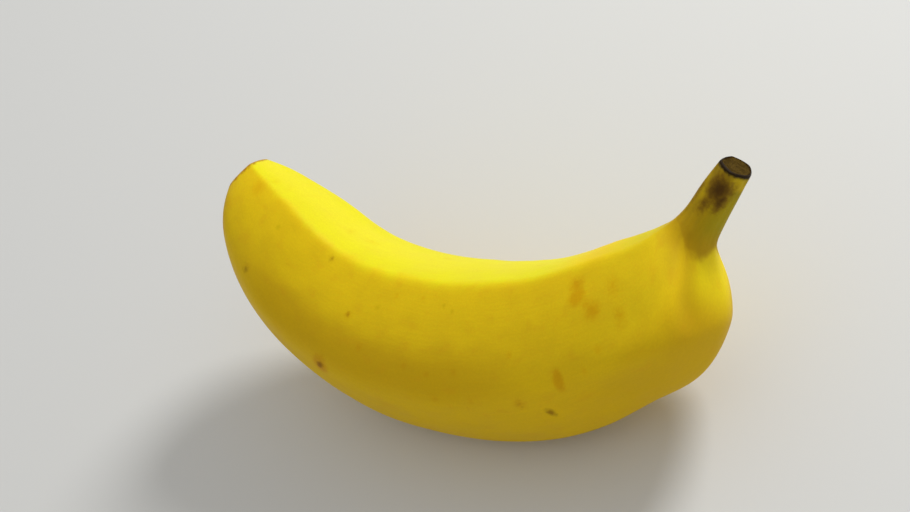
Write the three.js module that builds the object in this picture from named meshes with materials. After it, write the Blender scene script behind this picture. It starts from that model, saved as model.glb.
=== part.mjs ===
// One banana, cut from its hand and lying on its lower flank.
// Millimetres, +Z up. The origin is the centre of the small flat spot that
// the fruit rests on.
//
// The fruit is built in the plane of its own bend first. There x runs from
// the blossom end to the stem, z points to the hollow side of the bend and y
// runs across the fruit. Then it is leaned back to the way it comes to rest.

import * as THREE from 'three';

// Driving dimensions, in millimetres.
const HALF_GIRTH = 20.3;
const STEM_HALF_WIDTH = 4.6;
const TIP_HALF_WIDTH = 5.3;
const SCAR_DEPTH = 0.9;
const CUT_DEPTH = 0.4;
const DISH_FLOOR = 0.7;
const EDGE_ROUND = 0.5;
const REST_FLAT = 0.9;

// How the fruit lies, in degrees: the plane of the bend leans back from the
// vertical, and the stem end drops a little.
const LEAN = 45.8;
const PITCH = 1.1;

// The section is a pentagon with rounded ridges. The two ridges beside the
// hollow face are the crisp ones.
const FACES = 5;
const SOFT_RIDGE = 9;
const CRISP_RIDGE = 26;
const ROUND_RADIUS = 1.09;

// A crease runs round the shoulder, where the flank turns onto the cap under
// the stem. It lies near a sloping plane through [x, z] and fades over its
// reach. The rise is a share of the radius: its peak stands out by the part
// over the level, and the skin far from it is drawn in by the level's part.
const CREASE_AT = [42, -4.4];
const CREASE_SLOPE = 0.52;
const CREASE_RISE = 0.13;
const CREASE_LEVEL = 0.5;
const CREASE_REACH = 8;
const CREASE_ROUND = 3;
const CREASE_STARTS = [33, 46];
const CREASE_ENDS = [18, 26];

// Fineness of the mesh. Sixty sectors put a vertex on each ridge. The rounded
// edge of an end face has stations of its own, at these shares of its
// rounding, and the others keep clear of it by a multiple of the rounding.
const SECTORS = 60;
const STEPS_PER_RIB = 4;
const EDGE_STATIONS = [0, 0.12, 0.35, 0.65, 1];
const EDGE_CLEARANCE = 1.3;

// A rib is one section through the fruit. inner is its point on the hollow
// side of the bend and outer its point on the far side, both as [x, z].
// across is the half width, and ridge goes from 0, round, to 1, angular.
function rib(inner, outer, across, ridge) {
  return { inner, outer, across, ridge };
}

// The blunt end that carried the flower.
const BLOSSOM_END = [
  rib([-59.0, 27.6], [-66.0, 19.6], TIP_HALF_WIDTH, 0.60),
  rib([-54.9, 26.1], [-67.1, 14.8], TIP_HALF_WIDTH * 1.62, 0.60),
];

// The long swelling body, fullest a little past the middle of the bend.
const BODY = [
  rib([-48.3, 23.0], [-66.2, 5.8], HALF_GIRTH * 0.61, 0.60),
  rib([-41.2, 19.3], [-59.9, -6.1], HALF_GIRTH * 0.77, 0.60),
  rib([-28.7, 12.3], [-44.0, -20.0], HALF_GIRTH * 0.90, 0.60),
  rib([-11.0, 9.2], [-21.5, -29.0], HALF_GIRTH * 0.98, 0.60),
  rib([6.0, 10.0], [6.0, -30.6], HALF_GIRTH, 0.60),
  rib([23.5, 14.1], [31.0, -24.0], HALF_GIRTH * 0.97, 0.60),
  rib([35.0, 19.0], [47.2, -14.8], HALF_GIRTH * 0.90, 0.54),
];

// The full shoulder, rounder than the body, which turns in sharply under the
// stem on its outer side.
const SHOULDER = [
  rib([40.5, 21.5], [56.5, -7.3], HALF_GIRTH * 0.81, 0.48),
  rib([44.0, 23.0], [60.2, 2.8], HALF_GIRTH * 0.66, 0.46),
  rib([46.4, 24.2], [60.0, 10.9], HALF_GIRTH * 0.48, 0.46),
  rib([48.6, 25.6], [58.1, 17.5], STEM_HALF_WIDTH * 1.43, 0.46),
];

// The short stem, up to its cut face.
const STEM = [
  rib([51.0, 28.0], [58.6, 22.1], STEM_HALF_WIDTH * 1.13, 0.45),
  rib([54.5, 33.1], [61.7, 28.7], STEM_HALF_WIDTH, 0.45),
  rib([59.6, 39.9], [65.6, 36.3], STEM_HALF_WIDTH * 1.04, 0.45),
];

const RIBS = [...BLOSSOM_END, ...BODY, ...SHOULDER, ...STEM];

// A natural cubic spline: a smooth curve through values set at knots, with
// no bending at its two ends.
function naturalSpline(knots, values) {
  const count = knots.length;
  const bend = new Array(count).fill(0);
  const carry = new Array(count).fill(0);
  for (let i = 1; i < count - 1; i++) {
    const before = knots[i] - knots[i - 1];
    const after = knots[i + 1] - knots[i];
    const slopeChange = (values[i + 1] - values[i]) / after - (values[i] - values[i - 1]) / before;
    const pivot = 2 * (before + after) - before * carry[i - 1];
    carry[i] = after / pivot;
    bend[i] = (6 * slopeChange - before * bend[i - 1]) / pivot;
  }
  for (let i = count - 2; i > 0; i--) {
    bend[i] -= carry[i] * bend[i + 1];
  }
  return (at) => {
    let i = 0;
    while (i < count - 2 && at > knots[i + 1]) i++;
    const width = knots[i + 1] - knots[i];
    const b = (at - knots[i]) / width;
    const a = 1 - b;
    const curve = (a ** 3 - a) * bend[i] + (b ** 3 - b) * bend[i + 1];
    return a * values[i] + b * values[i + 1] + curve * width * width / 6;
  };
}

// Smooth functions of the way along the fruit, through every rib.
function alongTheFruit(ribs) {
  const middle = ribs.map((r) => new THREE.Vector2(...r.inner).lerp(new THREE.Vector2(...r.outer), 0.5));
  const knots = [0];
  for (let i = 1; i < ribs.length; i++) {
    knots.push(knots[i - 1] + middle[i].distanceTo(middle[i - 1]));
  }
  const through = (pick) => naturalSpline(knots, ribs.map(pick));
  return {
    knots,
    innerX: through((r) => r.inner[0]),
    innerZ: through((r) => r.inner[1]),
    outerX: through((r) => r.outer[0]),
    outerZ: through((r) => r.outer[1]),
    across: through((r) => r.across),
    ridge: through((r) => r.ridge),
  };
}

// Radius of the section in one direction. The angle is a quarter turn on the
// hollow side of the bend, and the middle of a face lies there.
function sectionRadius(angle, ridge) {
  const crispness = SOFT_RIDGE + (CRISP_RIDGE - SOFT_RIDGE) * Math.max(Math.sin(angle), 0);
  let sum = 0;
  for (let face = 0; face < FACES; face++) {
    const fromFace = angle - Math.PI / 2 - face * 2 * Math.PI / FACES;
    sum += Math.max(Math.cos(fromFace), 0) ** crispness;
  }
  return (1 - ridge) * ROUND_RADIUS + ridge * sum ** (-1 / crispness);
}

// How far the crease lifts a point of the skin, as a share of its radius.
function creaseLift(point) {
  const height = point.z - CREASE_AT[1] - CREASE_SLOPE * (point.x - CREASE_AT[0]);
  const off = height / Math.hypot(1, CREASE_SLOPE);
  const peak = Math.exp((CREASE_ROUND - Math.hypot(off, CREASE_ROUND)) / CREASE_REACH);
  const begun = THREE.MathUtils.smoothstep(point.x, ...CREASE_STARTS);
  const ended = 1 - THREE.MathUtils.smoothstep(point.z, ...CREASE_ENDS);
  return CREASE_RISE * (peak - CREASE_LEVEL) * begun * ended;
}

// How far the rounded edge of an end face draws the skin in.
function edgeInset(fromEnd) {
  const short = Math.max(1 - fromEnd / EDGE_ROUND, 0);
  return EDGE_ROUND * (1 - Math.sqrt(1 - short * short));
}

// One ring of points: the section stretched between the inner and the outer
// point, and to the half width on either side.
function ringAt(fruit, at) {
  const flat = [];
  for (let k = 0; k < SECTORS; k++) {
    const angle = 2 * Math.PI * k / SECTORS;
    const radius = sectionRadius(angle, fruit.ridge(at));
    flat.push([radius * Math.cos(angle), radius * Math.sin(angle)]);
  }
  const widest = Math.max(...flat.map((p) => Math.abs(p[0])));
  const lowest = Math.min(...flat.map((p) => p[1]));
  const highest = Math.max(...flat.map((p) => p[1]));
  const outer = new THREE.Vector3(fruit.outerX(at), 0, fruit.outerZ(at));
  const inner = new THREE.Vector3(fruit.innerX(at), 0, fruit.innerZ(at));
  const ring = flat.map(([c, n]) => {
    const point = outer.clone().lerp(inner, (n - lowest) / (highest - lowest));
    point.y = fruit.across(at) * c / widest;
    return point;
  });
  const centre = centreOf(ring);
  const inset = edgeInset(Math.min(at, fruit.knots.at(-1) - at)) / fruit.across(at);
  return ring.map((point) => {
    const outward = point.clone().sub(centre);
    return point.addScaledVector(outward, creaseLift(point) - inset);
  });
}

function centreOf(ring) {
  const sum = ring.reduce((total, point) => total.add(point), new THREE.Vector3());
  return sum.divideScalar(ring.length);
}

// Stations along the fruit: close ones over the rounded edge of each end
// face, and a few for each rib between.
function stationsOf(knots) {
  const length = knots.at(-1);
  const clear = EDGE_ROUND * EDGE_CLEARANCE;
  const edge = EDGE_STATIONS.map((share) => share * EDGE_ROUND);
  const between = [];
  for (let i = 1; i < knots.length; i++) {
    for (let step = 0; step < STEPS_PER_RIB; step++) {
      const at = THREE.MathUtils.lerp(knots[i - 1], knots[i], step / STEPS_PER_RIB);
      if (at > clear && at < length - clear) between.push(at);
    }
  }
  return [...edge, ...between, ...edge.map((at) => length - at).reverse()];
}

// The rings from the blossom scar to the cut. Each end closes over a
// shallow dish.
function fruitRings(fruit) {
  const rings = stationsOf(fruit.knots).map((at) => ringAt(fruit, at));
  const scar = dish(rings[0], rings[1], SCAR_DEPTH);
  const cut = dish(rings.at(-1), rings.at(-2), CUT_DEPTH);
  return { rings: [scar.floor, ...rings, cut.floor], scar: scar.middle, cut: cut.middle };
}

// A ring inside an end face, sunk toward the fruit, and the middle point.
// The floor ring lies at the same share of the radius and of the depth.
function dish(rim, next, depth) {
  const centre = centreOf(rim);
  const upTheFace = rim[SECTORS / 4].clone().sub(rim[3 * SECTORS / 4]);
  const normal = new THREE.Vector3(0, 1, 0).cross(upTheFace).normalize();
  if (normal.dot(centreOf(next).sub(centre)) < 0) normal.negate();
  const floor = rim.map((point) => {
    return centre.clone().lerp(point, DISH_FLOOR).addScaledVector(normal, depth * DISH_FLOOR);
  });
  return { floor, middle: centre.clone().addScaledVector(normal, depth) };
}

// One closed skin over the rings, with its faces pointing out.
function skin({ rings, scar, cut }) {
  const points = [...rings.flat(), scar, cut];
  const scarIndex = points.length - 2;
  const cutIndex = points.length - 1;
  const lastRing = (rings.length - 1) * SECTORS;
  const triangles = [];
  for (let k = 0; k < SECTORS; k++) {
    const next = (k + 1) % SECTORS;
    triangles.push(scarIndex, next, k);
    triangles.push(cutIndex, lastRing + k, lastRing + next);
    for (let r = 0; r < rings.length - 1; r++) {
      const near = r * SECTORS;
      const far = near + SECTORS;
      triangles.push(near + k, near + next, far + next);
      triangles.push(near + k, far + next, far + k);
    }
  }
  const geometry = new THREE.BufferGeometry();
  geometry.setAttribute('position', new THREE.Float32BufferAttribute(points.flatMap((p) => p.toArray()), 3));
  geometry.setIndex(triangles);
  return geometry;
}

// The fruit leans back onto its flank, and the peel under its weight gives a
// little: that flat spot lies on the table, with its middle at the origin.
function layDown(geometry) {
  geometry.rotateX(THREE.MathUtils.degToRad(-LEAN));
  geometry.rotateY(THREE.MathUtils.degToRad(PITCH));
  geometry.computeBoundingBox();
  geometry.translate(0, 0, -geometry.boundingBox.min.z - REST_FLAT);
  const position = geometry.attributes.position;
  const spot = new THREE.Box2();
  for (let i = 0; i < position.count; i++) {
    if (position.getZ(i) < 0) {
      position.setZ(i, 0);
      spot.expandByPoint(new THREE.Vector2(position.getX(i), position.getY(i)));
    }
  }
  const middle = spot.getCenter(new THREE.Vector2());
  geometry.translate(-middle.x, -middle.y, 0);
  geometry.computeVertexNormals();
  return geometry;
}

const banana = new THREE.Mesh(
  layDown(skin(fruitRings(alongTheFruit(RIBS)))),
  new THREE.MeshStandardMaterial({ color: '#dcb91a', roughness: 0.5, metalness: 0 }),
);
banana.name = 'banana';

const fruitGroup = new THREE.Group();
fruitGroup.add(banana);

export default fruitGroup;
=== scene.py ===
import math

import bpy
import numpy as np
from mathutils import Euler, Matrix, Vector, noise


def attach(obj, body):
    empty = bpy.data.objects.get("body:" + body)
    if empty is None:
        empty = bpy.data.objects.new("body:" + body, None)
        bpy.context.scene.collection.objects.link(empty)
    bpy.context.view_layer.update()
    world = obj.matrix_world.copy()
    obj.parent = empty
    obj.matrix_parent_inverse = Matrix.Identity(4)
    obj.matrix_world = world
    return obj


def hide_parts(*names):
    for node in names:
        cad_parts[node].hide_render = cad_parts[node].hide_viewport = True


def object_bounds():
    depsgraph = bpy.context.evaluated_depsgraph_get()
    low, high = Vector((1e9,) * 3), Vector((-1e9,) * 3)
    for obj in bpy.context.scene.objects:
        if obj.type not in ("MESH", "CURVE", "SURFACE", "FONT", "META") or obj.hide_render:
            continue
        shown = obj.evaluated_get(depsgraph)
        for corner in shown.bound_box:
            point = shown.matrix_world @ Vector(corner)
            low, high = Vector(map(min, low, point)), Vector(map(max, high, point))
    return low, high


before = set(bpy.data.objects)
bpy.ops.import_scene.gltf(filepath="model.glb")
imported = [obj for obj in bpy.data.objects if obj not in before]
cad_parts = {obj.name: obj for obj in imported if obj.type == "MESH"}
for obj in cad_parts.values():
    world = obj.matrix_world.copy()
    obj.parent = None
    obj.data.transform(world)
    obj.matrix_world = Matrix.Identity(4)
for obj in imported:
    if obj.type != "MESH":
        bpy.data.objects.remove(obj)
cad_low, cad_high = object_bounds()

# The skin
# A ripe banana is one solid thing: a thick five-sided peel over soft flesh.
# It grows in a bend, with a hollow side, a fuller outer side, a shoulder that
# turns in under the stem, and a blunt end that carried the flower.
MM = 0.001
HALF_GIRTH = 20.3
STEM_HALF_WIDTH = 4.6
TIP_HALF_WIDTH = 5.3
EDGE_ROUND = 0.5

# Its section is a pentagon with rounded ridges, crisper beside the hollow
# face. Angles round it are in degrees. The skin is a grid of rings, and they
# lie closer over the rounded rims of the end faces.
FACES = 5
SOFT_RIDGE = 9
CRISP_RIDGE = 26
ROUND_RADIUS = 1.09
HOLLOW_SIDE = 90
OUTER_SIDE = 270
SECTORS = 240
STEP = 0.5
RIM_RINGS = 7

# Each rib is one section: its point on the hollow side of the bend as x and
# z, its point on the outer side, its half width, and how angular it is.
RIBS = np.array([
    [-59.0, 27.6, -66.0, 19.6, TIP_HALF_WIDTH, 0.60],
    [-54.9, 26.1, -67.1, 14.8, TIP_HALF_WIDTH * 1.62, 0.60],
    [-48.3, 23.0, -66.2, 5.8, HALF_GIRTH * 0.61, 0.60],
    [-41.2, 19.3, -59.9, -6.1, HALF_GIRTH * 0.77, 0.60],
    [-28.7, 12.3, -44.0, -20.0, HALF_GIRTH * 0.90, 0.60],
    [-11.0, 9.2, -21.5, -29.0, HALF_GIRTH * 0.98, 0.60],
    [6.0, 10.0, 6.0, -30.6, HALF_GIRTH, 0.60],
    [23.5, 14.1, 31.0, -24.0, HALF_GIRTH * 0.97, 0.60],
    [35.0, 19.0, 47.2, -14.8, HALF_GIRTH * 0.90, 0.54],
    [40.5, 21.5, 56.5, -7.3, HALF_GIRTH * 0.81, 0.48],
    [44.0, 23.0, 60.2, 2.8, HALF_GIRTH * 0.66, 0.46],
    [46.4, 24.2, 60.0, 10.9, HALF_GIRTH * 0.48, 0.46],
    [48.6, 25.6, 58.1, 17.5, STEM_HALF_WIDTH * 1.43, 0.46],
    [51.0, 28.0, 58.6, 22.1, STEM_HALF_WIDTH * 1.13, 0.45],
    [54.5, 33.1, 61.7, 28.7, STEM_HALF_WIDTH, 0.45],
    [59.6, 39.9, 65.6, 36.3, STEM_HALF_WIDTH * 1.04, 0.45],
])


def ease(value, start, end):
    """0 up to start, 1 from end on, and a soft turn between."""
    share = np.clip((value - start) / (end - start), 0, 1)
    return share * share * (3 - 2 * share)


def natural_spline(knots, values, at):
    """A smooth curve through values set at knots, with no bending at its two ends."""
    gap = np.diff(knots)
    slope = np.diff(values, axis=0) / gap[:, None]
    system = np.eye(len(knots))
    turn = np.zeros_like(values)
    for i in range(1, len(knots) - 1):
        system[i, i - 1:i + 2] = gap[i - 1], 2 * (gap[i - 1] + gap[i]), gap[i]
        turn[i] = 6 * (slope[i] - slope[i - 1])
    bend = np.linalg.solve(system, turn)
    i = np.clip(np.searchsorted(knots, at) - 1, 0, len(gap) - 1)
    width = gap[i][:, None]
    b = ((at - knots[i]) / gap[i])[:, None]
    a = 1 - b
    curve = ((a ** 3 - a) * bend[i] + (b ** 3 - b) * bend[i + 1]) * width ** 2 / 6
    return a * values[i] + b * values[i + 1] + curve


def section_radius(angle, ridge):
    """Radius of the rounded pentagon. A quarter turn points to the hollow side, the middle of a face."""
    crispness = SOFT_RIDGE + (CRISP_RIDGE - SOFT_RIDGE) * np.clip(np.sin(angle), 0, 1)
    total = np.zeros(np.broadcast(angle, ridge).shape)
    for face in range(FACES):
        towards = math.radians(HOLLOW_SIDE + 360 / FACES * face)
        total += np.clip(np.cos(angle - towards), 0, 1) ** crispness
    return (1 - ridge) * ROUND_RADIUS + ridge * total ** (-1 / crispness)


middles = (RIBS[:, 0:2] + RIBS[:, 2:4]) / 2
knots = np.concatenate([[0], np.cumsum(np.hypot(*np.diff(middles, axis=0).T))])
LENGTH = knots[-1]
edge = EDGE_ROUND * (1 - np.cos(np.linspace(0, math.pi / 2, RIM_RINGS)))
between = np.linspace(EDGE_ROUND, LENGTH - EDGE_ROUND, round(LENGTH / STEP))[1:-1]
stations = np.concatenate([edge, between, LENGTH - edge[::-1]])
ribs = natural_spline(knots, RIBS, stations)
angles = np.arange(SECTORS) * 2 * math.pi / SECTORS
radius = section_radius(angles[None, :], ribs[:, 5:6])
flat_across = radius * np.cos(angles)
flat_up = radius * np.sin(angles)
flat_across /= np.abs(flat_across).max(axis=1, keepdims=True)
lowest = flat_up.min(axis=1, keepdims=True)
highest = flat_up.max(axis=1, keepdims=True)
rise = (flat_up - lowest) / (highest - lowest)

# The skin as a grid of rings, and the same points on the fruit unbent: across,
# along and up, in millimetres. Patterns of the peel follow the unbent fruit.
skin = np.stack([
    ribs[:, 2:3] + (ribs[:, 0:1] - ribs[:, 2:3]) * rise,
    ribs[:, 4:5] * flat_across,
    ribs[:, 3:4] + (ribs[:, 1:2] - ribs[:, 3:4]) * rise,
], axis=2)
depth = np.hypot(ribs[:, 0] - ribs[:, 2], ribs[:, 1] - ribs[:, 3])[:, None]
unbent = np.stack([
    skin[:, :, 1],
    np.broadcast_to(stations[:, None], rise.shape),
    (rise - 0.5) * depth,
], axis=2)

# A soft crease runs round the shoulder, where the flank turns onto the cap
# under the stem. It lies near a sloping plane through one point, as x and z,
# and its rise is a share of the radius. The rims of the end faces are rounded.
CREASE_X, CREASE_Z = 42, -4.4
CREASE_SLOPE = 0.52
CREASE_RISE = 0.14
CREASE_LEVEL = 0.5
CREASE_REACH = 8
CREASE_ROUND = 1.5
CREASE_STARTS = 33, 46
CREASE_ENDS = 18, 26

skin_x, skin_z = skin[:, :, 0], skin[:, :, 2]
off_crease = (skin_z - CREASE_Z - CREASE_SLOPE * (skin_x - CREASE_X)) / math.hypot(1, CREASE_SLOPE)
peak = np.exp((CREASE_ROUND - np.hypot(off_crease, CREASE_ROUND)) / CREASE_REACH)
crease = CREASE_RISE * (peak - CREASE_LEVEL)
crease *= ease(skin_x, *CREASE_STARTS) * (1 - ease(skin_z, *CREASE_ENDS))
from_end = np.minimum(stations, LENGTH - stations)
short = np.clip(1 - from_end / EDGE_ROUND, 0, 1)
inset = EDGE_ROUND * (1 - np.sqrt(1 - short ** 2)) / ribs[:, 4]
skin += (skin - skin.mean(axis=1, keepdims=True)) * (crease - inset[:, None])[:, :, None]


def soft_noise(points, size, seed):
    """Smooth noise from -1 to 1 whose lumps are about size millimetres."""
    offset = Vector((seed * 17.3, seed * 5.1, seed * 9.7))
    flat = points.reshape(-1, 3) / size
    return np.array([noise.noise(Vector(p) + offset) for p in flat]).reshape(points.shape[:-1])


along_skin = np.gradient(skin, axis=0)
around_skin = (np.roll(skin, -1, axis=1) - np.roll(skin, 1, axis=1)) / 2
outward = np.cross(around_skin, along_skin)
outward /= np.linalg.norm(outward, axis=2, keepdims=True)
if ((skin - skin.mean(axis=1, keepdims=True)) * outward).sum() < 0:
    outward = -outward

# Low swells and dents of the peel, and the grooves down the stem, which die
# out at its rim. Each has a height and a size across. The grooves are drawn
# out along the stem. The skin keeps a hair inside the solid.
SKIN_GAP = 0.02
STEM_STARTS = 142
BROAD_SWELL, BROAD_SWELL_SIZE = 0.16, 13
SMALL_SWELL, SMALL_SWELL_SIZE = 0.06, 5
SWELLS_START = 1, 8
SWELLS_END = STEM_STARTS + 2, STEM_STARTS + 8
GROOVE, GROOVE_SIZE = 0.10, 0.9
GROOVE_DRAWN_OUT = [1, 0.12, 1]
GROOVES_START = STEM_STARTS, STEM_STARTS + 8
GROOVES_END = LENGTH - 1.2, LENGTH

swells = BROAD_SWELL * soft_noise(unbent, BROAD_SWELL_SIZE, 1)
swells += SMALL_SWELL * soft_noise(unbent, SMALL_SWELL_SIZE, 2)
swells *= (ease(stations, *SWELLS_START) * (1 - ease(stations, *SWELLS_END)))[:, None]
grooves = GROOVE * soft_noise(unbent * GROOVE_DRAWN_OUT, GROOVE_SIZE, 3)
grooves *= (ease(stations, *GROOVES_START) * (1 - ease(stations, *GROOVES_END)))[:, None]

# A furrow runs over the cap up to the stem on each side. It lies at an angle
# from the middle of the outer side, as wide as a number of degrees, and
# turns by some more with each millimetre toward the stem.
FURROW_DEPTH = 0.7
FURROW_HALF_WIDTH = 15
FURROW_ANGLE = 71
FURROW_TURN = 2.6
FURROW_TURNS_AT = STEM_STARTS - 1
FURROW_STARTS = 132, 137
FURROW_ENDS = 143, 147

from_outer = np.abs(np.degrees(angles) - OUTER_SIDE)[None, :]
furrow_at = FURROW_ANGLE + FURROW_TURN * (stations[:, None] - FURROW_TURNS_AT)
furrow = np.exp(-((from_outer - furrow_at) / FURROW_HALF_WIDTH) ** 2)
furrow *= (ease(stations, *FURROW_STARTS) * (1 - ease(stations, *FURROW_ENDS)))[:, None]
skin = skin + outward * (swells + grooves - FURROW_DEPTH * furrow - SKIN_GAP)[:, :, None]

# The blossom scar
# The flower dried off here. It leaves a small sunken disk of dead cork,
# almost black, cracked from the middle outward, with a stub of the old style.
SCAR_DEPTH = 0.9
WIDE_CRACK, WIDE_CRACK_SIZE = 0.20, 1.3
FINE_CRACK, FINE_CRACK_SIZE = 0.10, 0.5
FOLD, FOLD_TURN = 0.16, 0.6
STYLE_HEIGHT, STYLE_RADIUS = 0.55, 1.2

# Either end closes over a dish, rings that sink from the rim toward the
# middle. A ring of the skin a little past the rim shows which way is in.
DISH_RINGS = 13
DISH_CURVE = 4
PAST_RIM = 9


def dish(rim, beyond, depth, shares, relief):
    """Rings from a rim to near its middle, sunk along the fruit, and the point in the middle."""
    centre = rim.mean(axis=0)
    inward = beyond.mean(axis=0) - centre
    inward /= np.linalg.norm(inward)
    result = []
    for share, lift in zip(shares, relief):
        ring = centre + (rim - centre) * share
        result.append(ring + inward * (depth * (1 - share ** DISH_CURVE) - lift)[:, None])
    return np.array(result), centre + inward * (depth - relief[-1].mean())


def unbent_dish(rim, shares, outward_step):
    """The unbent places of a dish's rings. They run on past the end of the fruit."""
    rings = rim * np.array([1, 0, 1]) * shares[:, None, None]
    rings[:, :, 1] = rim[0, 1] + outward_step * (1 - shares[:, None])
    return rings


shares = np.linspace(1, 0, DISH_RINGS + 2)[1:-1]
unbent_scar = unbent_dish(unbent[0], shares, -TIP_HALF_WIDTH)
cracks = WIDE_CRACK * soft_noise(unbent_scar, WIDE_CRACK_SIZE, 4)
cracks += FINE_CRACK * soft_noise(unbent_scar, FINE_CRACK_SIZE, 6)
half_way_in = 4 * shares * (1 - shares)
folds = FOLD * np.cos(FACES * angles + FOLD_TURN)[None, :] * half_way_in[:, None]
style = STYLE_HEIGHT * np.exp(-(shares * TIP_HALF_WIDTH / STYLE_RADIUS) ** 2)[:, None]
relief = cracks + folds + style
scar, scar_middle = dish(skin[0], skin[PAST_RIM], SCAR_DEPTH, shares, relief)


def linear(hex_colour):
    """An sRGB hex value as linear red, green, blue and alpha."""
    channels = [int(hex_colour[i:i + 2], 16) / 255 for i in (1, 3, 5)]
    return [c / 12.92 if c <= 0.04045 else ((c + 0.055) / 1.055) ** 2.4 for c in channels] + [1.0]


def add_node(tree, kind, settings, inputs, output=0):
    """One output of a new node. Each input is a value, or another node's output to link."""
    node = tree.nodes.new("ShaderNode" + kind)
    for name, value in settings.items():
        setattr(node, name, value)
    for name, value in inputs.items():
        if isinstance(value, bpy.types.NodeSocket):
            tree.links.new(value, node.inputs[name])
        else:
            node.inputs[name].default_value = value
    return node.outputs[output]


# Settings that many nodes share. A soft MapRange takes a value, where it
# starts and ends, and what it gives there, as inputs 0 to 4, and gives 0 to 1
# where that isn't said. A Mix takes its share as input 0 and two colours as
# 6 and 7, and gives output 2.
SOFT = {"interpolation_type": "SMOOTHSTEP"}
BLEND = {"data_type": "RGBA"}
ADD = {"operation": "ADD"}
MULTIPLY = {"operation": "MULTIPLY"}


def lumps(tree, where, sizes, detail=2.0):
    """Noise from 0 to 1 with lumps of the given sizes across, along and up, in millimetres."""
    scaled = add_node(tree, "Mapping", {}, {"Vector": where, "Scale": [1 / s for s in sizes]})
    return add_node(tree, "TexNoise", {}, {"Vector": scaled, "Scale": 1.0, "Detail": detail})


def finish_shader(tree, colour, roughness, relief, relief_mm):
    """Colour, roughness and fine relief on the material's own shader."""
    shader = tree.nodes["Principled BSDF"]
    bump = add_node(tree, "Bump", {}, {"Height": relief, "Distance": relief_mm * MM})
    tree.links.new(colour, shader.inputs["Base Color"])
    tree.links.new(roughness, shader.inputs["Roughness"])
    tree.links.new(bump, shader.inputs["Normal"])
    return shader


# Dead cork: brown black, dull, with paler dust on its high spots.
CRUMB_SIZES = (0.5, 0.5, 0.5)
CRUMB_HEIGHT = 0.15
DUST_SIZES = (2.0, 2.0, 2.0)

scar_cork = bpy.data.materials.new("blossom_scar_dried_cork")
scar_cork.use_nodes = True
tree = scar_cork.node_tree
where = add_node(tree, "Attribute", {"attribute_name": "unbent"}, {}, "Vector")
crumbs = lumps(tree, where, CRUMB_SIZES, 4.0)
raised = add_node(tree, "MapRange", SOFT, {0: crumbs, 1: 0.35, 2: 0.7})
colour = add_node(tree, "Mix", BLEND, {0: raised, 6: linear("#21140b"), 7: linear("#4d3218")}, 2)
patches = lumps(tree, where, DUST_SIZES)
dusty = add_node(tree, "MapRange", SOFT, {0: patches, 1: 0.5, 2: 0.7, 4: 0.6})
colour = add_node(tree, "Mix", BLEND, {0: dusty, 6: colour, 7: linear("#6f4b22")}, 2)
dull = add_node(tree, "MapRange", SOFT, {0: crumbs, 1: 0.3, 2: 0.7, 3: 0.95, 4: 0.8})
shader = finish_shader(tree, colour, dull, crumbs, CRUMB_HEIGHT)
shader.inputs["Specular IOR Level"].default_value = 0.2

# The cut of the stem
# The fruit was cut from its hand with a knife. The cut face has dried to an olive brown, with the ends
# of its fibres in it and a dark rim.
CUT_DEPTH = 0.4
FIBRE_END, FIBRE_END_SIZE = 0.05, 0.7
CUT_WAVE, CUT_WAVE_SIZE = 0.08, 1.6

unbent_cut = unbent_dish(unbent[-1], shares, STEM_HALF_WIDTH)
relief = FIBRE_END * soft_noise(unbent_cut, FIBRE_END_SIZE, 7)
relief += CUT_WAVE * soft_noise(unbent_cut, CUT_WAVE_SIZE, 5)
cut, cut_middle = dish(skin[-1], skin[-1 - PAST_RIM], CUT_DEPTH, shares, relief)

# Dried plant fibre: quite matt, in two browns, darker in the fibre ends and
# in a ragged ring inside the rim.
FIBRE_SIZES = (0.45, 0.45, 0.45)
FIBRE_HEIGHT = 0.12
BROWN_SIZES = (2.2, 2.2, 2.2)
RING_RAGGED = 1.2
RING = LENGTH + 0.5, LENGTH + 1.3

stem_cut = bpy.data.materials.new("stem_cut_dried")
stem_cut.use_nodes = True
tree = stem_cut.node_tree
where = add_node(tree, "Attribute", {"attribute_name": "unbent"}, {}, "Vector")
patches = lumps(tree, where, BROWN_SIZES)
browner = add_node(tree, "MapRange", SOFT, {0: patches, 1: 0.35, 2: 0.65})
colour = add_node(tree, "Mix", BLEND, {0: browner, 6: linear("#40300c"), 7: linear("#4f3d14")}, 2)
fibres = lumps(tree, where, FIBRE_SIZES, 3.0)
ends = add_node(tree, "MapRange", SOFT, {0: fibres, 1: 0.5, 2: 0.68, 4: 0.7})
colour = add_node(tree, "Mix", BLEND, {0: ends, 6: colour, 7: linear("#291d08")}, 2)
past_rim = add_node(tree, "SeparateXYZ", {}, {0: where}, "Y")
ragged = add_node(tree, "Math", MULTIPLY, {0: patches, 1: RING_RAGGED})
ragged = add_node(tree, "Math", ADD, {0: past_rim, 1: ragged})
ring = add_node(tree, "MapRange", SOFT, {0: ragged, 1: RING[0], 2: RING[1], 3: 1.0, 4: 0.0})
colour = add_node(tree, "Mix", BLEND, {0: ring, 6: colour, 7: linear("#251803")}, 2)
dull = add_node(tree, "MapRange", SOFT, {0: fibres, 1: 0.3, 2: 0.7, 3: 0.85, 4: 0.95})
shader = finish_shader(tree, colour, dull, fibres, FIBRE_HEIGHT)
shader.inputs["Specular IOR Level"].default_value = 0.03

# The whole fruit
# The skin, the scar and the cut close into one body. It leans back on its
# flank with the stem end a little down, and the peel gives under its weight,
# which leaves a small flat spot on the table.
LEAN = 45.8
PITCH = 1.1
REST_FLAT = 0.9
PEEL_SLOT, CORK_SLOT, CUT_SLOT = 0, 1, 2

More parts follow.
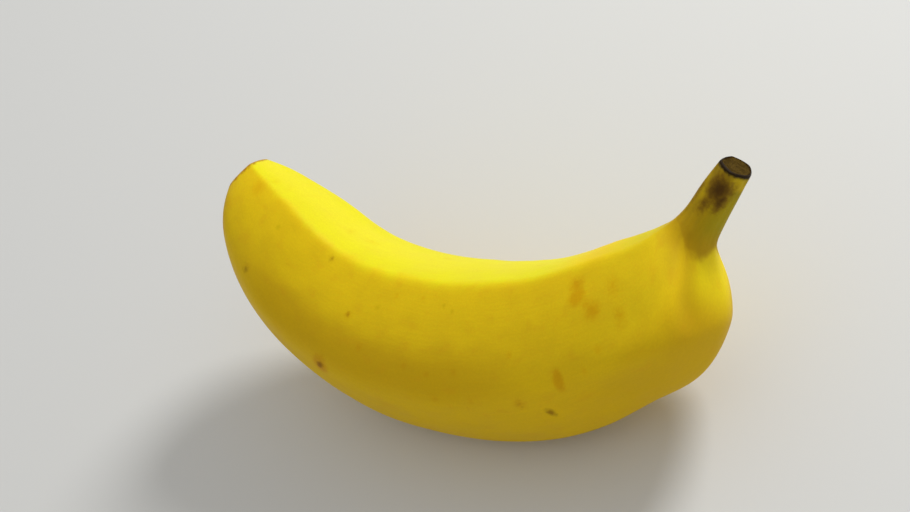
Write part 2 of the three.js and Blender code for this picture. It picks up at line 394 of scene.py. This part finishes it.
rings = np.concatenate([scar[::-1], skin, cut])
points = np.concatenate([rings.reshape(-1, 3), [scar_middle, cut_middle]])
unbent_rings = np.concatenate([unbent_scar[::-1], unbent, unbent_cut])
unbent_ends = [[0, -TIP_HALF_WIDTH, 0], [0, LENGTH + STEM_HALF_WIDTH, 0]]
unbent_points = np.concatenate([unbent_rings.reshape(-1, 3), unbent_ends])

faces = []
finishes = []
count = len(rings)
for r in range(count - 1):
    finish = PEEL_SLOT
    if r < len(scar):
        finish = CORK_SLOT
    elif r >= count - 1 - len(cut):
        finish = CUT_SLOT
    for k in range(SECTORS):
        after = (k + 1) % SECTORS
        near, far = r * SECTORS, (r + 1) * SECTORS
        faces.append((near + k, near + after, far + after, far + k))
        finishes.append(finish)
for k in range(SECTORS):
    after = (k + 1) % SECTORS
    last = (count - 1) * SECTORS
    faces.append((len(points) - 2, after, k))
    faces.append((len(points) - 1, last + k, last + after))
    finishes += [CORK_SLOT, CUT_SLOT]

turn = Matrix.Rotation(math.radians(PITCH), 3, "Y") @ Matrix.Rotation(math.radians(-LEAN), 3, "X")
laid = points * MM @ np.array(turn).T
cad_middle = (cad_low + cad_high) / 2
shift = np.array([
    cad_middle.x - (laid[:, 0].min() + laid[:, 0].max()) / 2,
    cad_middle.y - (laid[:, 1].min() + laid[:, 1].max()) / 2,
    -laid[:, 2].min() - REST_FLAT * MM,
])
laid += shift
laid[:, 2] = np.maximum(laid[:, 2], 0)
in_place = Matrix.Translation(Vector(shift)) @ turn.to_4x4()

mesh = bpy.data.meshes.new("banana_fruit")
mesh.from_pydata(laid.tolist(), [], faces)
mesh.polygons.foreach_set("material_index", finishes)
mesh.polygons.foreach_set("use_smooth", [True] * len(faces))
place = mesh.attributes.new("unbent", "FLOAT_VECTOR", "POINT")
place.data.foreach_set("vector", unbent_points.ravel().astype(np.float32))
mesh.update()
mesh.validate()
banana = bpy.data.objects.new("banana_fruit", mesh)
bpy.context.scene.collection.objects.link(banana)
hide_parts("banana")
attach(banana, "root")

# The peel
# Banana peel is a waxy living skin. Its colour by side is painted light and shade: lemon yellow on the
# hollow side, where the lamp falls, and golden on the flanks that turn from it. It turns olive and
# fibrous on the stem. Bruises and dry scratches show where the fruit was knocked and rubbed. A mark goes
# only some millimetres in, so that it doesn't come out on the far side.
MARK_REACH_IN = 6


def mark_field(marks):
    """How deep in a mark each point is: its strength in the middle, 0 at its edge, less beyond."""
    field = np.full(rise.shape, -1.0)
    for along, angle, half_long, half_wide, slant, strength in marks:
        i = np.abs(stations - along).argmin()
        k = round(angle / 360 * SECTORS) % SECTORS
        off = unbent - unbent[i, k]
        around = (unbent[i, (k + 1) % SECTORS] - unbent[i, k - 1]) * [1, 0, 1]
        around /= np.linalg.norm(around)
        forward = np.array([0, 1, 0])
        c, s = math.cos(math.radians(slant)), math.sin(math.radians(slant))
        lengthwise = off @ (c * forward + s * around) / half_long
        widthwise = off @ (c * around - s * forward) / half_wide
        inward = off @ np.cross(forward, around) / MARK_REACH_IN
        apart = np.sqrt(lengthwise ** 2 + widthwise ** 2 + inward ** 2)
        field = np.maximum(field, strength * (1 - apart))
    return field


# Each mark: its place along the fruit in millimetres, its angle round the
# section, its half length and half width, its slant, and its strength.
SCABS = [
    (37.4, 132, 1.4, 1.3, 0, 0.45), (20.1, 190, 1.3, 1.4, 0, 0.45), (46.7, 206, 1.2, 2.2, 20, 1.0),
    (100.4, 221, 1.3, 2.5, -12, 0.9), (49.4, 160, 1.0, 1.1, 0, 0.35), (95.5, 205, 1.1, 1.6, 0, 0.2),
    (56, 340, 0.8, 2.1, 25, 1.0), (92, 15, 0.8, 0.8, 0, 0.8), (130, 350, 0.7, 1.2, 10, 0.7),
    (44, 262, 0.8, 0.9, 0, 0.6), (76, 312, 0.7, 0.7, 0, 0.8), (112, 66, 0.7, 1.0, 0, 0.6),
    (27, 24, 0.8, 0.8, 0, 0.8),
]
STAINS = [
    (113.2, 140, 3.2, 2.8, 0, 1.0), (113.2, 147, 3.4, 3.0, 0, 1.4), (115.4, 154, 2.2, 2.2, 0, 0.7),
    (117.0, 160, 2.9, 2.9, 0, 1.1), (123.0, 150, 3.4, 4.2, 0, 0.5), (123.6, 172, 2.2, 3.8, 0, 0.6),
    (106.2, 197, 1.7, 3.8, 0, 1.5), (95.5, 205, 1.8, 2.4, 0, 0.7), (46.7, 206, 2.8, 4.2, 0, 1.5),
    (49.4, 160, 1.5, 1.6, 0, 0.7),
    (38, 350, 1.8, 2.6, 0, 0.9), (64, 20, 1.5, 2.0, 0, 0.7), (88, 332, 1.4, 2.8, 15, 1.2),
    (122, 10, 2.0, 2.8, 0, 0.8), (118, 20, 1.5, 1.6, 0, 1.1), (70, 290, 1.6, 1.3, 0, 0.8),
    (28, 300, 1.3, 2.0, 0, 0.6), (103, 285, 1.8, 1.5, 30, 0.9),
]
BLUSHES = [
    (7, 212, 4.5, 3.5, 0, 0.9), (4, 190, 2.5, 3.0, 0, 0.6), (6.7, 138, 2.6, 2.6, 0, 1.0),
    (7.6, 115, 1.8, 2.2, 0, 0.6), (34.0, 98, 1.6, 2.4, 0, 0.6), (40.5, 94, 3.2, 1.8, 0, 0.6),
    (80.7, 182, 1.2, 1.5, 0, 0.7), (67.8, 182, 1.1, 1.3, 0, 0.7), (73.8, 184, 1.3, 1.1, 0, 0.7),
    (55.4, 178, 1.3, 1.5, 0, 0.7), (94.6, 172, 1.2, 1.2, 0, 0.7), (117.0, 188, 1.4, 1.6, 0, 0.8),
    (76.3, 200, 1.3, 1.8, 0, 0.8), (84.8, 199, 1.2, 1.6, 0, 0.7), (112.5, 197, 1.1, 1.7, 0, 0.7),
    (59.0, 138, 1.2, 1.2, 0, 0.6), (67.3, 136, 1.2, 1.1, 0, 0.6), (8, 30, 2.2, 2.4, 0, 0.9),
    (60, 80, 2.8, 1.7, 0, 0.6), (96, 100, 2.4, 1.5, 0, 0.6), (51, 318, 1.4, 1.8, 0, 0.8),
    (84, 352, 1.3, 1.4, 0, 0.7), (108, 322, 1.5, 1.8, 0, 0.8),
]
GREENS = [
    (19.5, 144, 1.0, 1.0, 0, 0.8), (55.7, 148, 1.0, 1.0, 0, 0.8), (74.3, 140, 0.8, 0.9, 0, 0.8),
    (76.9, 143, 0.8, 1.0, 0, 0.8), (72, 40, 1.0, 1.1, 0, 0.7), (30, 330, 0.9, 1.0, 0, 0.8),
]
STEM_BRUISES = [
    (157.6, 190, 4.6, 3.8, 0, 1.2), (153.4, 175, 3.6, 1.9, 20, 0.6), (156.0, 213, 4.0, 2.2, 0, 1.0),
    (154.0, 125, 6.0, 1.6, 0, 0.40), (149, 40, 2.4, 1.3, 0, 0.8), (157, 320, 3.4, 1.6, 0, 0.8),
    (151, 100, 3.4, 1.2, 0, 0.7),
]
STEM_YELLOWS = [
    (160.4, 236, 2.2, 3.8, 0, 1.6), (159.8, 264, 2.0, 2.4, 0, 1.0), (158.5, 135, 2.4, 2.0, 0, 0.7),
    (155.0, 150, 4.0, 1.4, 0, 0.8), (158, 60, 3.0, 1.7, 0, 0.8),
]
layers = {
    "scabs": SCABS, "stains": STAINS, "blushes": BLUSHES, "greens": GREENS,
    "bruises": STEM_BRUISES, "yellows": STEM_YELLOWS,
}
fields = {name: mark_field(marks) for name, marks in layers.items()}
from_hollow = np.abs((np.degrees(angles) - HOLLOW_SIDE + 180) % 360 - 180)
fields["from_hollow"] = np.broadcast_to(from_hollow, rise.shape)
fields["furrow"] = furrow
for name, field in fields.items():
    rings_of_field = [field[:1]] * len(scar) + [field] + [field[-1:]] * len(cut)
    values = np.append(np.concatenate(rings_of_field).ravel(), [0, 0])
    mesh.attributes.new(name, "FLOAT", "POINT").data.foreach_set("value", values.astype(np.float32))

# Waxy peel: smooth and only softly shiny, mottled in patches, with a fine
# grain of pores and faint long fibres that show through from below. Each
# noise has the sizes of its lumps in millimetres, across, along and up.
PORE_HEIGHT = 0.025
FIBRE_SHARE = 0.7
# How strongly painted shade darkens the furrow.
FURROW_PAINTED_SHADE = 0.28

peel = bpy.data.materials.new("banana_peel_waxy")
peel.use_nodes = True
tree = peel.node_tree
where = add_node(tree, "Attribute", {"attribute_name": "unbent"}, {}, "Vector")
along = add_node(tree, "SeparateXYZ", {}, {0: where}, "Y")
toward_hollow = add_node(tree, "SeparateXYZ", {}, {0: where}, "Z")
side = add_node(tree, "Attribute", {"attribute_name": "from_hollow"}, {}, "Fac")
mottle = lumps(tree, where, (6, 8, 6))
blotches = lumps(tree, where, (3.2, 4.0, 3.2), 3.0)
ragged = lumps(tree, where, (0.9, 0.9, 0.9), 3.0)
pores = lumps(tree, where, (0.45, 0.5, 0.45))
fibres = lumps(tree, where, (0.7, 14, 0.7))
streaks = lumps(tree, where, (1.4, 10, 1.4))

# The tones on the flanks waver a little, and lie lower toward the stem.
wander = add_node(tree, "MapRange", SOFT, {0: mottle, 1: 0.3, 2: 0.7, 3: -1.5, 4: 1.5})
wavering = add_node(tree, "Math", ADD, {0: side, 1: wander})
lowering = add_node(tree, "MapRange", SOFT, {0: along, 1: 100, 2: 125, 3: 0, 4: -6})
lower_down = add_node(tree, "Math", ADD, {0: wavering, 1: lowering})

# How strongly each tone lies on the peel: what it goes by, where that starts
# and ends, and the share there. Side is in degrees from the middle of the
# hollow face, along in millimetres from the blossom end.
share = {}
for name, goes_by, start, end, first, last in (
    ("pale_middle", side, 5, 30, 0, 1),
    # The golden tone past the lemon face is painted shade on the flanks that turn from the lamp.
    ("painted_shade_past_lemon", wavering, 30, 42, 0, 1),
    ("lemon_fades", along, 98, 120, 0, 1),
    # The underside tone and the deeper band below each flank are painted shade.
    ("painted_shade_under", lower_down, 85, 130, 0, 1),
    ("under_by_stem", along, 100, 125, 0, 1),
    ("painted_shade_band", wavering, 70, 92, 0, 1),
    ("band_ends", wavering, 102, 122, 1, 0),
    ("band_past_tip", along, 10, 32, 0, 1),
    ("band_fades", along, 75, 108, 1, 0),
    ("muted", along, 110, 130, 0, 1),
    ("muted_ends", side, 78, 112, 1, 0),
    ("muted_flank", side, 20, 50, 0, 1),
    # The brighter tone on the cap is a painted highlight where the lamp catches the dome.
    ("painted_light_cap", along, 135, 141, 0, 1),
    ("cap_side", side, 105, 140, 0, 1),
    ("flank", side, 20, 50, 0.3, 1),
    ("mottled", mottle, 0.35, 0.7, 0, 0.18),
    ("blotched", blotches, 0.54, 0.74, 0, 0.14),
    ("porous", pores, 0.35, 0.7, 0.06, 0),
    ("fibrous", fibres, 0.4, 0.65, 0.035, 0),
    ("roughness", mottle, 0.3, 0.7, 0.62, 0.54),
):
    share[name] = add_node(tree, "MapRange", SOFT, {0: goes_by, 1: start, 2: end, 3: first, 4: last})
for name, limit in (
    ("painted_shade_band", "band_ends"), ("painted_shade_band", "band_fades"), ("painted_shade_band", "band_past_tip"), ("muted", "muted_ends"),
    ("painted_light_cap", "cap_side"), ("mottled", "flank"), ("blotched", "flank"),
):
    share[name] = add_node(tree, "Math", MULTIPLY, {0: share[name], 1: share[limit]})
MAXIMUM = {"operation": "MAXIMUM"}
share["painted_shade_past_lemon"] = add_node(tree, "Math", MAXIMUM, {0: share["painted_shade_past_lemon"], 1: share["lemon_fades"]})
# The furrow gets painted shade, darkest where it sinks deepest.
in_furrow = add_node(tree, "Attribute", {"attribute_name": "furrow"}, {}, "Fac")
share["furrow"] = add_node(tree, "Math", MULTIPLY, {0: in_furrow, 1: FURROW_PAINTED_SHADE})

# Painted light and shade: lemon yellow on the hollow face, where the lamp falls, and golden on the
# flanks and the underside that turn from it, with a deeper painted shade in a band below each flank
# along the body. The tones are more muted toward the stem, and a painted highlight makes the cap
# brighter.
painted_light_lemons = {0: share["pale_middle"], 6: linear("#e5da22"), 7: linear("#e2d912")}
painted_shade_unders = {0: share["under_by_stem"], 6: linear("#e7bf0e"), 7: linear("#d8b00d")}
muteds = {0: share["muted_flank"], 6: linear("#d9c713"), 7: linear("#e4c511")}
colour = add_node(tree, "Mix", BLEND, painted_light_lemons, 2)
for name, tone in (
    ("painted_shade_past_lemon", linear("#efcb10")), ("painted_shade_under", add_node(tree, "Mix", BLEND, painted_shade_unders, 2)),
    ("painted_shade_band", linear("#dbb20c")), ("muted", add_node(tree, "Mix", BLEND, muteds, 2)),
    # The furrow tone is painted shade.
    ("painted_light_cap", linear("#f2d812")), ("furrow", linear("#a8860a")),
    ("mottled", linear("#d6ab10")), ("blotched", linear("#e09a14")),
    ("porous", linear("#8d6a0c")), ("fibrous", linear("#a8860e")),
):
    colour = add_node(tree, "Mix", BLEND, {0: share[name], 6: colour, 7: tone}, 2)

# Marks, each kind a tint over the yellow with a worn edge: pale blushes,
# green flecks, brown stains in the peel, and dry scabs, dark in the middle.
TINT = {"data_type": "RGBA", "blend_type": "MULTIPLY"}
MARK_EDGE = -0.05
wear = add_node(tree, "MapRange", SOFT, {0: ragged, 1: 0.25, 2: 0.75, 3: -0.13, 4: 0.13})
for name, tint, full_at in (
    ("blushes", "#fbf0b0", 0.9), ("greens", "#f2f4b4", 0.7),
    ("stains", "#f3df3c", 0.95), ("scabs", "#b8a52a", 0.85),
):
    field = add_node(tree, "Attribute", {"attribute_name": name}, {}, "Fac")
    worn = add_node(tree, "Math", ADD, {0: field, 1: wear})
    marked = add_node(tree, "MapRange", SOFT, {0: worn, 1: MARK_EDGE, 2: full_at})
    colour = add_node(tree, "Mix", TINT, {0: marked, 6: colour, 7: linear(tint)}, 2)

# The stem is olive, fibrous and dull, greener on its outer side, with brown bruises and a nearly black
# lip at the cut. Its colour starts higher on the hollow and the outer side than on the flanks, and
# shades off down the hollow side. The edges of its marks, of its lip and of the browned tip are ragged.
for name, goes_by, start, end, first, last in (
    ("higher_on_hollow", side, 45, 115, -1.8, 0),
    ("higher_on_outer", side, 130, 180, 0, -2.2),
    ("edge_wander", blotches, 0.3, 0.7, -0.4, 0.4),
    ("fringe_side", side, 75, 110, 1, 0),
    ("streaky", streaks, 0.3, 0.7, 0, 1),
    ("green", toward_hollow, 1.0, -4.5, 0, 0.75),
    ("green_along", along, 144, 151, 0.25, 1),
    ("foot", along, 143, 150, 0.5, 0),
    ("higher_up", along, 154, 162, 0, 0.45),
    ("yellow_wear", ragged, 0.3, 0.7, -0.1, 0.1),
    ("bruise_wear", ragged, 0.25, 0.75, -0.12, 0.12),
    ("lip_wear", ragged, 0.3, 0.7, -0.12, 0.12),
    ("tip_wear", ragged, 0.3, 0.7, -0.25, 0.25),
):
    share[name] = add_node(tree, "MapRange", SOFT, {0: goes_by, 1: start, 2: end, 3: first, 4: last})
stem_edge = along
for name in ("higher_on_hollow", "higher_on_outer", "edge_wander"):
    stem_edge = add_node(tree, "Math", ADD, {0: stem_edge, 1: share[name]})
yellows = add_node(tree, "Attribute", {"attribute_name": "yellows"}, {}, "Fac")
bruises = add_node(tree, "Attribute", {"attribute_name": "bruises"}, {}, "Fac")
worn = {}
for name, goes_by in (("yellow", yellows), ("bruise", bruises), ("lip", along), ("tip", along)):
    worn[name] = add_node(tree, "Math", ADD, {0: goes_by, 1: share[name + "_wear"]})
for name, goes_by, start, end, first, last in (
    ("fringe", stem_edge, STEM_STARTS - 8, STEM_STARTS + 1.5, 0, 0.8),
    ("stem", stem_edge, STEM_STARTS + 0.2, STEM_STARTS + 2.1, 0, 1),
    ("yellow", worn["yellow"], 0, 0.9, 0, 0.8),
    ("bruise", worn["bruise"], -0.1, 0.6, 0, 0.8),
    ("bruise_middle", worn["bruise"], 0.2, 1.1, 0, 1),
    ("lip", worn["lip"], LENGTH - 1.2, LENGTH - 0.4, 0, 1),
    ("tip", worn["tip"], 0.1, 1.1, 0.9, 0),
):
    share[name] = add_node(tree, "MapRange", SOFT, {0: goes_by, 1: start, 2: end, 3: first, 4: last})
share["fringe"] = add_node(tree, "Math", MULTIPLY, {0: share["fringe"], 1: share["fringe_side"]})
share["green"] = add_node(tree, "Math", MULTIPLY, {0: share["green"], 1: share["green_along"]})
share["stem"] = add_node(tree, "Math", MAXIMUM, {0: share["stem"], 1: share["fringe"]})

olives = {0: share["streaky"], 6: linear("#b9960a"), 7: linear("#ad8d0c")}
stem_colour = add_node(tree, "Mix", BLEND, olives, 2)
for name, tone in (
    ("green", "#a3960c"), ("foot", "#c4960b"), ("higher_up", "#8a6f10"), ("yellow", "#cdae0c"),
    ("bruise", "#7b580c"), ("bruise_middle", "#523608"), ("lip", "#241703"),
):
    stem_colour = add_node(tree, "Mix", BLEND, {0: share[name], 6: stem_colour, 7: linear(tone)}, 2)
colour = add_node(tree, "Mix", BLEND, {0: share["stem"], 6: colour, 7: stem_colour}, 2)

# Round the blossom scar the peel has turned orange brown.
colour = add_node(tree, "Mix", BLEND, {0: share["tip"], 6: colour, 7: linear("#a8701a")}, 2)

fibre_relief = add_node(tree, "Math", MULTIPLY, {0: fibres, 1: FIBRE_SHARE})
relief = add_node(tree, "Math", ADD, {0: pores, 1: fibre_relief})
shader = finish_shader(tree, colour, share["roughness"], relief, PORE_HEIGHT)
shader.inputs["Specular IOR Level"].default_value = 0.10
shader.inputs["Subsurface Weight"].default_value = 0.06
shader.inputs["Subsurface Radius"].default_value = (1.0, 0.6, 0.1)
shader.inputs["Subsurface Scale"].default_value = 0.0015
for finish in (peel, scar_cork, stem_cut):
    mesh.materials.append(finish)

# The floor, light and camera
# A plain pale table under a soft light from above the hollow side, and a
# camera that sees the fruit as the photograph does.
FLOOR_SIZE = 6
bpy.ops.mesh.primitive_plane_add(size=FLOOR_SIZE)
floor = bpy.context.object
floor.name = "floor"
paper = bpy.data.materials.new("pale_paper_matt")
paper.use_nodes = True
shader = paper.node_tree.nodes["Principled BSDF"]
shader.inputs["Base Color"].default_value = linear("#d9d9d6")
shader.inputs["Roughness"].default_value = 0.9
floor.data.materials.append(paper)

# The lamp is placed in the fruit's own frame, along x, y and z of its bend.
KEY_DIRECTION = 0.30, 0.09, 0.95
KEY_DISTANCE = 0.9
key = bpy.data.lights.new("key", "AREA")
key.shape = "DISK"
key.size = 0.3
key.energy = 5.7
key_lamp = bpy.data.objects.new("key", key)
key_direction = turn @ Vector(KEY_DIRECTION)
key_lamp.location = key_direction.normalized() * KEY_DISTANCE
key_lamp.rotation_euler = key_direction.to_track_quat("Z", "Y").to_euler()
bpy.context.scene.collection.objects.link(key_lamp)

world = bpy.data.worlds.new("studio")
world.use_nodes = True
world.node_tree.nodes["Background"].inputs["Color"].default_value = (1, 1, 1, 1)
world.node_tree.nodes["Background"].inputs["Strength"].default_value = 0.53
bpy.context.scene.world = world

# The camera stands in the fruit's own frame too: turned round to the stem end
# and raised a little over the plane of the bend. The photograph shows the
# origin of that frame at one of its pixels, counted from its upper left.
YAW = 29.5
RAISE = 14.0
DISTANCE = 0.65
FRAME_PIXELS = 910, 512
ORIGIN_PIXEL = 479.3, 305.4
PIXELS_PER_MM = 4.45
SENSOR_WIDTH = 36

frame_width = FRAME_PIXELS[0] / PIXELS_PER_MM * MM
camera_data = bpy.data.cameras.new("camera")
camera_data.sensor_width = SENSOR_WIDTH
camera_data.lens = SENSOR_WIDTH * DISTANCE / frame_width
camera = bpy.data.objects.new("camera", camera_data)
looking = Euler((math.radians(90 - RAISE), 0, math.radians(YAW)), "XYZ").to_matrix()
eye = looking @ Vector((0, 0, DISTANCE))
pixels_right = FRAME_PIXELS[0] / 2 - ORIGIN_PIXEL[0]
pixels_up = ORIGIN_PIXEL[1] - FRAME_PIXELS[1] / 2
aim = looking @ (Vector((pixels_right, pixels_up, 0)) / PIXELS_PER_MM * MM)
aiming = (eye - aim).to_track_quat("Z", "Y").to_matrix()
camera.matrix_world = in_place @ Matrix.Translation(eye) @ aiming.to_4x4()
bpy.context.scene.collection.objects.link(camera)
bpy.context.scene.camera = camera
bpy.context.scene.view_settings.view_transform = "Standard"
